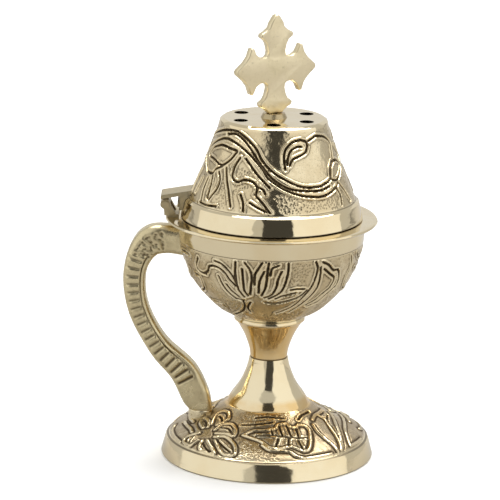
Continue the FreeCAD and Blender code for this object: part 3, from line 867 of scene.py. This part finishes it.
BACK = [(-29.3, 78.3), (-40.3, 78.1), (-46.3, 72.4), (-49.15, 61.0), (-46.9, 47.5), (-39.6, 34.0),
        (-32.6, 25.6),
        (-28.6, 17.6), (-26.6, 15.25)]
FRONT = [(-29.3, 68.3), (-34.6, 68.9), (-38.7, 67.6), (-41.5, 61.5), (-40.6, 51.0), (-34.6, 39.8),
         (-25.0, 30.8),
         (-20.3, 22.2), (-18.6, 15.25)]


def section(across, wide, corner, sides):
    """Rounded oblong section: (share across from front to back, sideways mm) pairs."""
    out = []
    half = wide / 2
    for cx, cy, a0 in ((1, 1, 0), (-1, 1, 90), (-1, -1, 180), (1, -1, 270)):
        for i in range(5):
            a = radians(a0 + 90 * i / 4)
            out.append((cx * (across / 2 - corner) + corner * cos(a), cy * (half - corner) + corner * sin(a)))
    dense = []
    for a, b in zip(out, out[1:] + out[:1]):
        count = max(1, round(math.dist(a, b) / sides))
        for i in range(count):
            dense.append((a[0] + (b[0] - a[0]) * i / count, a[1] + (b[1] - a[1]) * i / count))
    return dense


class CENSER_OT_handle(bpy.types.Operator):
    """Cast handle with its punched shoulder, cross grooves and inner strip"""

    bl_idname = "censer.handle"
    bl_label = "Handle"

    def execute(self, context):
        c, size = colours(), sizes()
        wide = size.handle_width / MM
        back, front = smooth_line(BACK, 0.02), smooth_line(FRONT, 0.02)
        count = 330
        marks = []
        for line, outline in ((back, BACK), (front, FRONT)):
            at = [int(np.argmin(np.linalg.norm(line - np.array(p), axis=1))) for p in outline]
            marks.append(np.interp(np.linspace(0, 8, count), np.arange(9), at).astype(int))
        ring = section(8.0, wide, 2.2, 0.55)
        deselect()
        bpy.ops.mesh.primitive_circle_add(vertices=len(ring), radius=MM, fill_type="NGON")
        handle = named("cast_handle")
        mesh = edit(handle)
        mesh.verts.layers.int.new("place")
        bpy.ops.mesh.select_all(action="SELECT")
        mesh = bmesh.from_edit_mesh(handle.data)
        for n, (i, j) in enumerate(zip(marks[0], marks[1])):
            b, f = back[i], front[j]
            middle, reach = (b + f) / 2, b - f
            if n:
                bpy.ops.mesh.extrude_region_move(TRANSFORM_OT_translate={"value": (0, 0, MM)})
                mesh = bmesh.from_edit_mesh(handle.data)
            picked = [v for v in mesh.verts if v.select]
            if n == 0:
                first = [v.co.copy() for v in picked]
                turn = [math.atan2(co.y, co.x) % (2 * pi) for co in first]
                angles = sorted(range(len(picked)), key=turn.__getitem__)
                tags = mesh.verts.layers.int["place"]
                for m, k in enumerate(angles):
                    picked[k][tags] = m
            tags = mesh.verts.layers.int["place"]
            for v in picked:
                u, y = ring[v[tags]]
                x, z = middle + reach * (u / 8.0)
                v.co = Vector((x, y, z)) * MM
            bmesh.update_edit_mesh(handle.data)
        close_up(handle)
        self.carve(handle, back, front, marks, size.groove_depth / MM)
        smooth(handle, 50)
        finish(handle, plain_brass("handle_brass", c.cast, c.cast_dull, c.grime_and_shade, 0.7, 0.26, 1.0))
        ride(handle, "body", "cast_brass", "handle")
        return {"FINISHED"}

    def carve(self, handle, back, front, marks, depth):
        """Cross grooves, the line beside the inner strip and the punched dots."""
        co = np.empty(len(handle.data.vertices) * 3)
        handle.data.vertices.foreach_get("co", co)
        co = co.reshape(-1, 3) / MM
        b, f = back[marks[0]], front[marks[1]]
        middle = (b + f) / 2
        run = np.r_[0, np.cumsum(np.linalg.norm(np.diff(middle, axis=0), axis=1))]
        flat = co[:, [0, 2]]
        near = np.argmin(((flat[:, None, :] - middle[None, ::3, :]) ** 2).sum(2), axis=1) * 3
        tangent = np.gradient(middle, axis=0)
        tangent /= np.linalg.norm(tangent, axis=1)[:, None]
        along = run[near] + ((flat - middle[near]) * tangent[near]).sum(1)
        across = b - f
        span = np.linalg.norm(across, axis=1)
        share = ((flat - f[near]) * across[near]).sum(1) / span[near] ** 2
        inner = share * span[near]
        side = np.abs(co[:, 1])
        groove = np.zeros(len(co))
        start, stop, pitch = run[int(0.30 * 330)], run[int(0.80 * 330)], 2.75
        count = int((stop - start) / pitch)
        for n in range(count + 1):
            at = start + n * pitch
            w = 0.42 + 0.18 * n / count
            d = (along - at) / w
            groove = np.maximum(groove, np.exp(-d ** 2) * (0.7 + 0.3 * n / count))
        groove *= np.clip((inner - 2.1) / 0.5, 0, 1) * np.clip((span[near] - 0.5 - inner) / 0.9, 0.12, 1)
        groove *= np.clip((side - 1.6) / 1.2, 0, 1)
        strip = np.exp(-((inner - 1.8) / 0.32) ** 2) * (side > 2.6)
        strip *= np.clip((along - run[70]) / 3, 0, 1) * np.clip((run[265] - along) / 3, 0, 1)
        rng = np.random.default_rng(5)
        dots = np.zeros(len(co))
        for n in range(46):
            a = rng.uniform(6.5, start - 1.5)
            i = rng.uniform(1.4, 7.6)
            for turn in (-1, 1):
                d = np.hypot(along - a, inner - i) / rng.uniform(0.38, 0.55)
                dots = np.maximum(dots, np.exp(-d ** 2) * (co[:, 1] * turn > 2.5))
        cut = np.clip(np.maximum(np.maximum(groove, strip), dots), 0, 1)
        group = handle.vertex_groups.new(name="cut")
        for i in np.nonzero(cut > 0.01)[0]:
            group.add([int(i)], float(cut[i]), "REPLACE")
        push = handle.modifiers.new("cut", "DISPLACE")
        push.vertex_group = "cut"
        push.mid_level = 0
        push.strength = -depth * MM
        layer = handle.data.attributes.new("patina", "FLOAT", "POINT")
        layer.data.foreach_set("value", (cut * 0.75).astype(np.float32))
        apply_all(handle)
        handle.vertex_groups.clear()


class CENSER_OT_cross(bpy.types.Operator):
    """Flat cast cross standing on its turned collar"""

    bl_idname = "censer.cross"
    bl_label = "Cross and collar"

    QUARTER = [(0, 18.2), (0.8, 17.9), (2.4, 15.6), (2.9, 14.1), (4.3, 13.0), (6.1, 12.1), (6.3, 11.0),
               (4.6, 9.8), (3.9, 8.6), (3.3, 6.3), (3.5, 5.0), (4.3, 4.3), (6.0, 4.2), (7.7, 5.3), (9.1, 8.0),
               (10.0, 7.6), (10.9, 5.0), (12.3, 3.2), (15.1, 0.8), (15.4, 0)]

    def execute(self, context):
        c = colours()
        right = self.QUARTER + [(x, -z) for x, z in reversed(self.QUARTER[:-1])]
        loop = right + [(-x, z) for x, z in reversed(right[1:-1])]
        deselect()
        bpy.ops.mesh.primitive_circle_add(vertices=len(loop), radius=MM, fill_type="NGON")
        cross = named("cast_cross")
        mesh = edit(cross, "FACE")
        mesh.verts.ensure_lookup_table()
        for v, (x, z) in zip(mesh.verts, loop):
            v.co = Vector((x, -1.3, z)) * MM
        bmesh.update_edit_mesh(cross.data)
        bpy.ops.mesh.select_all(action="SELECT")
        bpy.ops.mesh.extrude_region_move(TRANSFORM_OT_translate={"value": (0, 2.6 * MM, 0)})
        close_up(cross)
        edit(cross, "FACE")
        bpy.ops.mesh.select_all(action="SELECT")
        bpy.ops.mesh.bisect(plane_co=(0, 0, -14.65 * MM), plane_no=(0, 0, 1), use_fill=True, clear_inner=True)
        bpy.ops.mesh.select_all(action="SELECT")
        bpy.ops.transform.rotate(value=-radians(33), orient_axis="Z", center_override=(0, 0, 0))
        bpy.ops.transform.translate(value=(0, 0, 131.8 * MM))
        close_up(cross)
        soften(cross, 0.45, 3, 50)
        smooth(cross, 40)
        finish(cross, plain_brass("cross_brass", c.bright, c.cast, c.grime_and_shade, 0.8, 0.3, 0.6))
        ride(cross, "lid", "satin_brass", "cross_finial")
        return {"FINISHED"}


class CENSER_OT_fittings(bpy.types.Operator):
    """Finishes for the hinge, collar, screws, nuts and pan"""

    bl_idname = "censer.fittings"
    bl_label = "Fittings"

    def execute(self, context):
        c = colours()
        hinge = plain_brass("hinge_brass", c.cast_dull, c.iron, c.grime_and_shade, 0.9, 0.34, 1.0)
        # The collar's darker brown is painted reflection of the dark surroundings on it.
        collar = plain_brass("collar_brass", c.cast_dull, c.collar, c.grime_and_shade, 0.9, 0.25, 0.6)
        screw = plain_brass("screw_brass", c.cast, c.cast_dull, c.grime_and_shade, 0.6, 0.25, 0.3)
        pan = plain_brass("pan_brass", c.heat, c.grime_and_shade, c.grime_and_shade, 0.8, 0.4, 0.7)
        wears = {"hinge_leaf": hinge, "hinge_bracket": hinge, "hinge_pin": hinge, "hinge_rivets": hinge,
                 "cross_collar": collar, "charcoal_pan": pan}
        for name, node in frame["nodes"].items():
            if not node.hide_render:
                finish(node, wears.get(name, screw))
        return {"FINISHED"}


# ---------------------------------------------------------------- stage

CARD_AIM = 0.07    # height that every card faces, in metres


def card(name, width, height, degrees, distance, centre, radiance):
    """An upright panel facing the object: a lamp's soft box where it shines, a dark flag where it doesn't."""
    deselect()
    bpy.ops.mesh.primitive_plane_add(size=1)
    panel = named(name)
    a = radians(degrees)
    place = Vector((distance * sin(a), -distance * cos(a), centre))
    turn = (-place + Vector((0, 0, CARD_AIM))).to_track_quat("Z", "Y").to_matrix().to_4x4()
    panel.data.transform(Matrix.Translation(place) @ turn @ Matrix.Diagonal((width, height, 1, 1)))
    s = Shade(name)
    glow = s.node("ShaderNodeEmission", None, {"Color": (1, 1, 1, 1), "Strength": radiance})
    s.tree.links.new(glow.outputs[0], s.out.inputs[0])
    finish(panel, s.material)
    panel.visible_camera = False
    panel.visible_shadow = False
    return panel


class CENSER_OT_stage(bpy.types.Operator):
    """Pale floor, soft studio light and the camera"""

    bl_idname = "censer.stage"
    bl_label = "Stage"

    def execute(self, context):
        scene = context.scene
        scene.view_settings.view_transform = "Standard"
        world = bpy.data.worlds.new("studio")
        scene.world = world
        world.use_nodes = True
        world.node_tree.nodes["Background"].inputs["Color"].default_value = (1.0, 1.0, 1.0, 1)
        world.node_tree.nodes["Background"].inputs["Strength"].default_value = 0.58
        deselect()
        # The second sheet is painted shade: a darker copy of the floor just under it, seen only in reflections.
        for name, size, z in (("floor", 30.0, 0.0), ("bench", 30.0, -0.0005)):
            bpy.ops.mesh.primitive_plane_add(size=size, location=(0, 0, z))
            sheet = named(name)
            settle(sheet)
            s = Shade(name)
            # The darker tone is the painted shade of the floor copy that reflections see.
            tone = colours().floor if name == "floor" else (0.42, 0.41, 0.40)
            inputs = {"Base Color": (*tone, 1), "Roughness": 0.9, "Specular IOR Level": 0.1}
            skin = s.node("ShaderNodeBsdfPrincipled", None, inputs)
            s.tree.links.new(skin.outputs[0], s.out.inputs[0])
            finish(sheet, s.material)
            sheet.visible_shadow = False
            if name == "floor":
                sheet.visible_glossy = False
            else:
                sheet.visible_camera = False
                sheet.visible_diffuse = False
        card("soft_box_left", 3.8, 2.4, -66, 1.9, 1.0, 0.92)
        card("soft_box_right", 3.0, 2.4, 64, 1.9, 1.0, 1.05)
        card("soft_box_top", 2.2, 2.2, 160, 0.6, 2.4, 5.5)
        card("front_flag", 1.86, 2.4, 8.3, 2.4, 1.1, 0.06)
        card("back_drop", 3.4, 1.6, 180, 2.6, 0.8, 0.75)

        data = bpy.data.cameras.new("camera")
        data.lens = 237.6
        data.sensor_width = 36
        data.shift_x = -0.0422
        data.shift_y = -0.0099
        camera = bpy.data.objects.new("camera", data)
        scene.collection.objects.link(camera)
        camera.location = (0, -1.0659, 0.3437)
        look = (Vector((0, 0, 0.072)) - camera.location).to_track_quat("-Z", "Y")
        camera.rotation_mode = "QUATERNION"
        camera.rotation_quaternion = look @ Matrix.Rotation(radians(1.25), 4, "Z").to_quaternion()
        scene.camera = camera
        return {"FINISHED"}


class CENSER_PT_panel(bpy.types.Panel):
    """Lists the pieces and their settings"""

    bl_idname = "CENSER_PT_panel"
    bl_label = "Brass hand censer"
    bl_space_type = "VIEW_3D"
    bl_region_type = "UI"
    bl_category = "Censer"

    def draw(self, context):
        for step in STEPS:
            self.layout.operator(step.bl_idname)
        for group in (context.scene.censer_sizes, context.scene.censer_colours):
            for key in group.bl_rna.properties.keys():
                if key not in ("rna_type", "name"):
                    self.layout.prop(group, key)


STEPS = (CENSER_OT_foot, CENSER_OT_bowl, CENSER_OT_lid, CENSER_OT_handle, CENSER_OT_cross, CENSER_OT_fittings,
         CENSER_OT_stage)
CLASSES = (CenserSizes, CenserColours, *STEPS, CENSER_PT_panel)


def register():
    for c in CLASSES:
        bpy.utils.register_class(c)
    bpy.types.Scene.censer_sizes = PointerProperty(type=CenserSizes)
    bpy.types.Scene.censer_colours = PointerProperty(type=CenserColours)


def unregister():
    del bpy.types.Scene.censer_sizes
    del bpy.types.Scene.censer_colours
    for c in reversed(CLASSES):
        bpy.utils.unregister_class(c)


def main():
    register()
    for step in STEPS:
        getattr(bpy.ops.censer, step.bl_idname.split(".")[1])()


if __name__ == "__main__":
    main()
